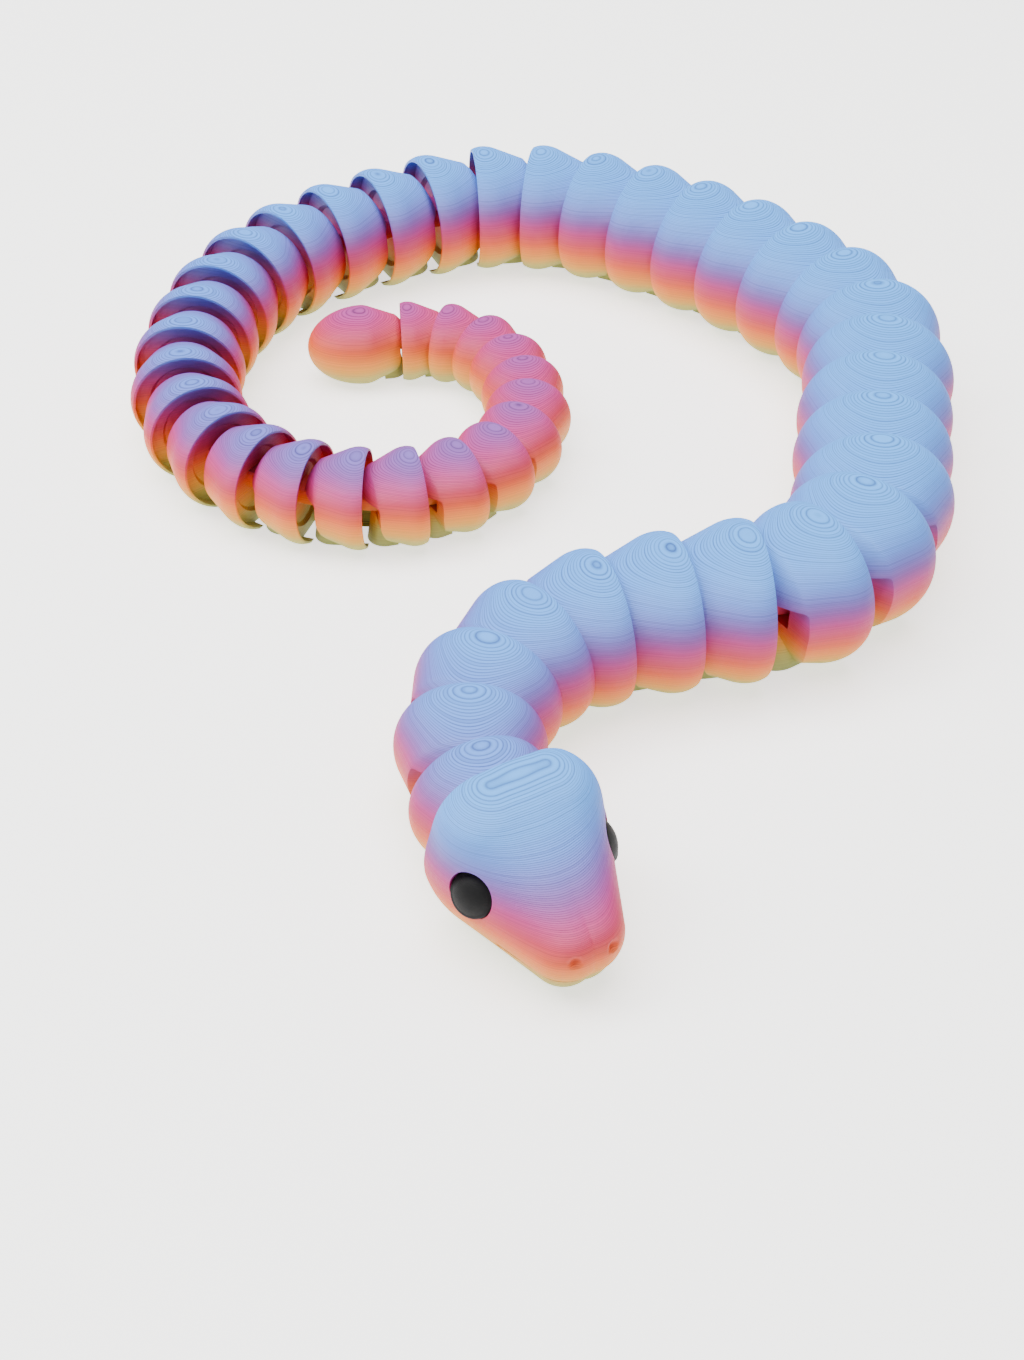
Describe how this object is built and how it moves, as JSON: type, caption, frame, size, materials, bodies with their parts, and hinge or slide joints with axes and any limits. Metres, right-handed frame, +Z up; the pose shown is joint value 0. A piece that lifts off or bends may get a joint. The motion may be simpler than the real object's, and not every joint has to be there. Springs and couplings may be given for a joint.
{
  "type": "articulated snake",
  "caption": "Printed toy snake that bends from head to tail: cup-and-dome links turn on upright captive pins and lie coiled on a flat base.",
  "frame": {"origin": "on the flat underside of the head, under the middle of the head", "axes": "+Z up, out of the surface that the snake lies on; +Y from the head towards the neck hinge; +X towards the side on which the coiled body lies"},
  "size_m": [0.1515, 0.2043, 0.0263],
  "materials": {
    "rainbow_filament": "matte printed filament whose colour runs from olive green at the floor through yellow, orange, magenta and lilac to light blue at the top, with fine level layer lines",
    "black_filament": "matte black printed filament"
  },
  "bodies": {
    "head": {"head": "rainbow_filament", "left_eye": "black_filament", "right_eye": "black_filament"},
    "segment_01": {"segment_01": "rainbow_filament"},
    "segment_02": {"segment_02": "rainbow_filament"},
    "segment_03": {"segment_03": "rainbow_filament"},
    "segment_04": {"segment_04": "rainbow_filament"},
    "segment_05": {"segment_05": "rainbow_filament"},
    "segment_06": {"segment_06": "rainbow_filament"},
    "segment_07": {"segment_07": "rainbow_filament"},
    "segment_08": {"segment_08": "rainbow_filament"},
    "segment_09": {"segment_09": "rainbow_filament"},
    "segment_10": {"segment_10": "rainbow_filament"},
    "segment_11": {"segment_11": "rainbow_filament"},
    "segment_12": {"segment_12": "rainbow_filament"},
    "segment_13": {"segment_13": "rainbow_filament"},
    "segment_14": {"segment_14": "rainbow_filament"},
    "segment_15": {"segment_15": "rainbow_filament"},
    "segment_16": {"segment_16": "rainbow_filament"},
    "segment_17": {"segment_17": "rainbow_filament"},
    "segment_18": {"segment_18": "rainbow_filament"},
    "segment_19": {"segment_19": "rainbow_filament"},
    "segment_20": {"segment_20": "rainbow_filament"},
    "segment_21": {"segment_21": "rainbow_filament"},
    "segment_22": {"segment_22": "rainbow_filament"},
    "segment_23": {"segment_23": "rainbow_filament"},
    "segment_24": {"segment_24": "rainbow_filament"},
    "segment_25": {"segment_25": "rainbow_filament"},
    "segment_26": {"segment_26": "rainbow_filament"},
    "segment_27": {"segment_27": "rainbow_filament"},
    "segment_28": {"segment_28": "rainbow_filament"},
    "segment_29": {"segment_29": "rainbow_filament"},
    "segment_30": {"segment_30": "rainbow_filament"},
    "segment_31": {"segment_31": "rainbow_filament"},
    "segment_32": {"segment_32": "rainbow_filament"},
    "segment_33": {"segment_33": "rainbow_filament"},
    "segment_34": {"segment_34": "rainbow_filament"},
    "segment_35": {"segment_35": "rainbow_filament"},
    "segment_36": {"segment_36": "rainbow_filament"},
    "segment_37": {"segment_37": "rainbow_filament"},
    "segment_38": {"segment_38": "rainbow_filament"},
    "segment_39": {"segment_39": "rainbow_filament"},
    "segment_40": {"segment_40": "rainbow_filament"},
    "segment_41": {"segment_41": "rainbow_filament"},
    "segment_42": {"segment_42": "rainbow_filament"},
    "segment_43": {"segment_43": "rainbow_filament"},
    "segment_44": {"segment_44": "rainbow_filament"},
    "segment_45": {"segment_45": "rainbow_filament"},
    "segment_46": {"segment_46": "rainbow_filament"},
    "tail_tip": {"tail_tip": "rainbow_filament"}
  },
  "joints": [
    {"name": "hinge_01", "type": "hinge", "parent": "head", "child": "segment_01", "pos_m": [0, 0.012, 0], "axis": [0, 0, 1], "range_deg": [-17, 33]},
    {"name": "hinge_02", "type": "hinge", "parent": "segment_01", "child": "segment_02", "pos_m": [0.0015, 0.02265, 0], "axis": [0, 0, -1], "range_deg": [-48, 2]},
    {"name": "hinge_03", "type": "hinge", "parent": "segment_02", "child": "segment_03", "pos_m": [0.00723, 0.03219, 0], "axis": [0, 0, 1], "range_deg": [-2, 48]},
    {"name": "hinge_04", "type": "hinge", "parent": "segment_03", "child": "segment_04", "pos_m": [0.01653, 0.03895, 0], "axis": [0, 0, -1], "range_deg": [-48, 2]},
    {"name": "hinge_05", "type": "hinge", "parent": "segment_04", "child": "segment_05", "pos_m": [0.02804, 0.04161, 0], "axis": [0, 0, 1], "range_deg": [-2, 48]},
    {"name": "hinge_06", "type": "hinge", "parent": "segment_05", "child": "segment_06", "pos_m": [0.03995, 0.03951, 0], "axis": [0, 0, -1], "range_deg": [-30, 20]},
    {"name": "hinge_07", "type": "hinge", "parent": "segment_06", "child": "segment_07", "pos_m": [0.05186, 0.03632, 0], "axis": [0, 0, 1], "range_deg": [-20, 30]},
    {"name": "hinge_08", "type": "hinge", "parent": "segment_07", "child": "segment_08", "pos_m": [0.06363, 0.03203, 0], "axis": [0, 0, -1], "range_deg": [-1, 49]},
    {"name": "hinge_09", "type": "hinge", "parent": "segment_08", "child": "segment_09", "pos_m": [0.07631, 0.03292, 0], "axis": [0, 0, 1], "range_deg": [-49, 1]},
    {"name": "hinge_10", "type": "hinge", "parent": "segment_09", "child": "segment_10", "pos_m": [0.08764, 0.03894, 0], "axis": [0, 0, -1], "range_deg": [-1, 49]},
    {"name": "hinge_11", "type": "hinge", "parent": "segment_10", "child": "segment_11", "pos_m": [0.09559, 0.04913, 0], "axis": [0, 0, 1], "range_deg": [-24, 21]},
    {"name": "hinge_12", "type": "hinge", "parent": "segment_11", "child": "segment_12", "pos_m": [0.10376, 0.05921, 0], "axis": [0, 0, -1], "range_deg": [-19, 24]},
    {"name": "hinge_13", "type": "hinge", "parent": "segment_12", "child": "segment_13", "pos_m": [0.11212, 0.06917, 0], "axis": [0, 0, 1], "range_deg": [-24, 17]},
    {"name": "hinge_14", "type": "hinge", "parent": "segment_13", "child": "segment_14", "pos_m": [0.12064, 0.07898, 0], "axis": [0, 0, -1], "range_deg": [-3, 47]},
    {"name": "hinge_15", "type": "hinge", "parent": "segment_14", "child": "segment_15", "pos_m": [0.12486, 0.09123, 0], "axis": [0, 0, 1], "range_deg": [-47, 3]},
    {"name": "hinge_16", "type": "hinge", "parent": "segment_15", "child": "segment_16", "pos_m": [0.12419, 0.10413, 0], "axis": [0, 0, -1], "range_deg": [-15, 31]},
    {"name": "hinge_17", "type": "hinge", "parent": "segment_16", "child": "segment_17", "pos_m": [0.12218, 0.11682, 0], "axis": [0, 0, 1], "range_deg": [-31, 16]},
    {"name": "hinge_18", "type": "hinge", "parent": "segment_17", "child": "segment_18", "pos_m": [0.11887, 0.12915, 0], "axis": [0, 0, -1], "range_deg": [-17, 31]},
    {"name": "hinge_19", "type": "hinge", "parent": "segment_18", "child": "segment_19", "pos_m": [0.11433, 0.14098, 0], "axis": [0, 0, 1], "range_deg": [-31, 19]},
    {"name": "hinge_20", "type": "hinge", "parent": "segment_19", "child": "segment_20", "pos_m": [0.10864, 0.15216, 0], "axis": [0, 0, -1], "range_deg": [-19, 31]},
    {"name": "hinge_21", "type": "hinge", "parent": "segment_20", "child": "segment_21", "pos_m": [0.10187, 0.16257, 0], "axis": [0, 0, 1], "range_deg": [-42, 8]},
    {"name": "hinge_22", "type": "hinge", "parent": "segment_21", "child": "segment_22", "pos_m": [0.09247, 0.17046, 0], "axis": [0, 0, -1], "range_deg": [-8, 42]},
    {"name": "hinge_23", "type": "hinge", "parent": "segment_22", "child": "segment_23", "pos_m": [0.08133, 0.17519, 0], "axis": [0, 0, 1], "range_deg": [-42, 8]},
    {"name": "hinge_24", "type": "hinge", "parent": "segment_23", "child": "segment_24", "pos_m": [0.06945, 0.17644, 0], "axis": [0, 0, -1], "range_deg": [-20, 30]},
    {"name": "hinge_25", "type": "hinge", "parent": "segment_24", "child": "segment_25", "pos_m": [0.0577, 0.17664, 0], "axis": [0, 0, 1], "range_deg": [-30, 20]},
    {"name": "hinge_26", "type": "hinge", "parent": "segment_25", "child": "segment_26", "pos_m": [0.04616, 0.17584, 0], "axis": [0, 0, -1], "range_deg": [-12, 38]},
    {"name": "hinge_27", "type": "hinge", "parent": "segment_26", "child": "segment_27", "pos_m": [0.03529, 0.17251, 0], "axis": [0, 0, 1], "range_deg": [-38, 12]},
    {"name": "hinge_28", "type": "hinge", "parent": "segment_27", "child": "segment_28", "pos_m": [0.02562, 0.16693, 0], "axis": [0, 0, -1], "range_deg": [-12, 38]},
    {"name": "hinge_29", "type": "hinge", "parent": "segment_28", "child": "segment_29", "pos_m": [0.01761, 0.15946, 0], "axis": [0, 0, 1], "range_deg": [-32, 18]},
    {"name": "hinge_30", "type": "hinge", "parent": "segment_29", "child": "segment_30", "pos_m": [0.0107, 0.15123, 0], "axis": [0, 0, -1], "range_deg": [-16, 32]},
    {"name": "hinge_31", "type": "hinge", "parent": "segment_30", "child": "segment_31", "pos_m": [0.00497, 0.1424, 0], "axis": [0, 0, 1], "range_deg": [-40, 10]},
    {"name": "hinge_32", "type": "hinge", "parent": "segment_31", "child": "segment_32", "pos_m": [0.00178, 0.13258, 0], "axis": [0, 0, -1], "range_deg": [-10, 40]},
    {"name": "hinge_33", "type": "hinge", "parent": "segment_32", "child": "segment_33", "pos_m": [0.00125, 0.12248, 0], "axis": [0, 0, 1], "range_deg": [-40, 8]},
    {"name": "hinge_34", "type": "hinge", "parent": "segment_33", "child": "segment_34", "pos_m": [0.00331, 0.11279, 0], "axis": [0, 0, -1], "range_deg": [-7, 40]},
    {"name": "hinge_35", "type": "hinge", "parent": "segment_34", "child": "segment_35", "pos_m": [0.00772, 0.10414, 0], "axis": [0, 0, 1], "range_deg": [-40, 7]},
    {"name": "hinge_36", "type": "hinge", "parent": "segment_35", "child": "segment_36", "pos_m": [0.01409, 0.09707, 0], "axis": [0, 0, -1], "range_deg": [-7, 40]},
    {"name": "hinge_37", "type": "hinge", "parent": "segment_36", "child": "segment_37", "pos_m": [0.02192, 0.09198, 0], "axis": [0, 0, 1], "range_deg": [-43, 7]},
    {"name": "hinge_38", "type": "hinge", "parent": "segment_37", "child": "segment_38", "pos_m": [0.03077, 0.08961, 0], "axis": [0, 0, -1], "range_deg": [-7, 43]},
    {"name": "hinge_39", "type": "hinge", "parent": "segment_38", "child": "segment_39", "pos_m": [0.03976, 0.09008, 0], "axis": [0, 0, 1], "range_deg": [-43, 7]},
    {"name": "hinge_40", "type": "hinge", "parent": "segment_39", "child": "segment_40", "pos_m": [0.04803, 0.09326, 0], "axis": [0, 0, -1], "range_deg": [-7, 43]},
    {"name": "hinge_41", "type": "hinge", "parent": "segment_40", "child": "segment_41", "pos_m": [0.05481, 0.09875, 0], "axis": [0, 0, 1], "range_deg": [-43, 7]},
    {"name": "hinge_42", "type": "hinge", "parent": "segment_41", "child": "segment_42", "pos_m": [0.0595, 0.10597, 0], "axis": [0, 0, -1], "range_deg": [-7, 43]},
    {"name": "hinge_43", "type": "hinge", "parent": "segment_42", "child": "segment_43", "pos_m": [0.0617, 0.11419, 0], "axis": [0, 0, 1], "range_deg": [-33, 17]},
    {"name": "hinge_44", "type": "hinge", "parent": "segment_43", "child": "segment_44", "pos_m": [0.06273, 0.12255, 0], "axis": [0, 0, -1], "range_deg": [-1, 49]},
    {"name": "hinge_45", "type": "hinge", "parent": "segment_44", "child": "segment_45", "pos_m": [0.06029, 0.13055, 0], "axis": [0, 0, 1], "range_deg": [-49, 1]},
    {"name": "hinge_46", "type": "hinge", "parent": "segment_45", "child": "segment_46", "pos_m": [0.05483, 0.13682, 0], "axis": [0, 0, -1], "range_deg": [-1, 49]},
    {"name": "hinge_47", "type": "hinge", "parent": "segment_46", "child": "tail_tip", "pos_m": [0.04732, 0.14032, 0], "axis": [0, 0, 1], "range_deg": [-31, 19]}
  ]
}
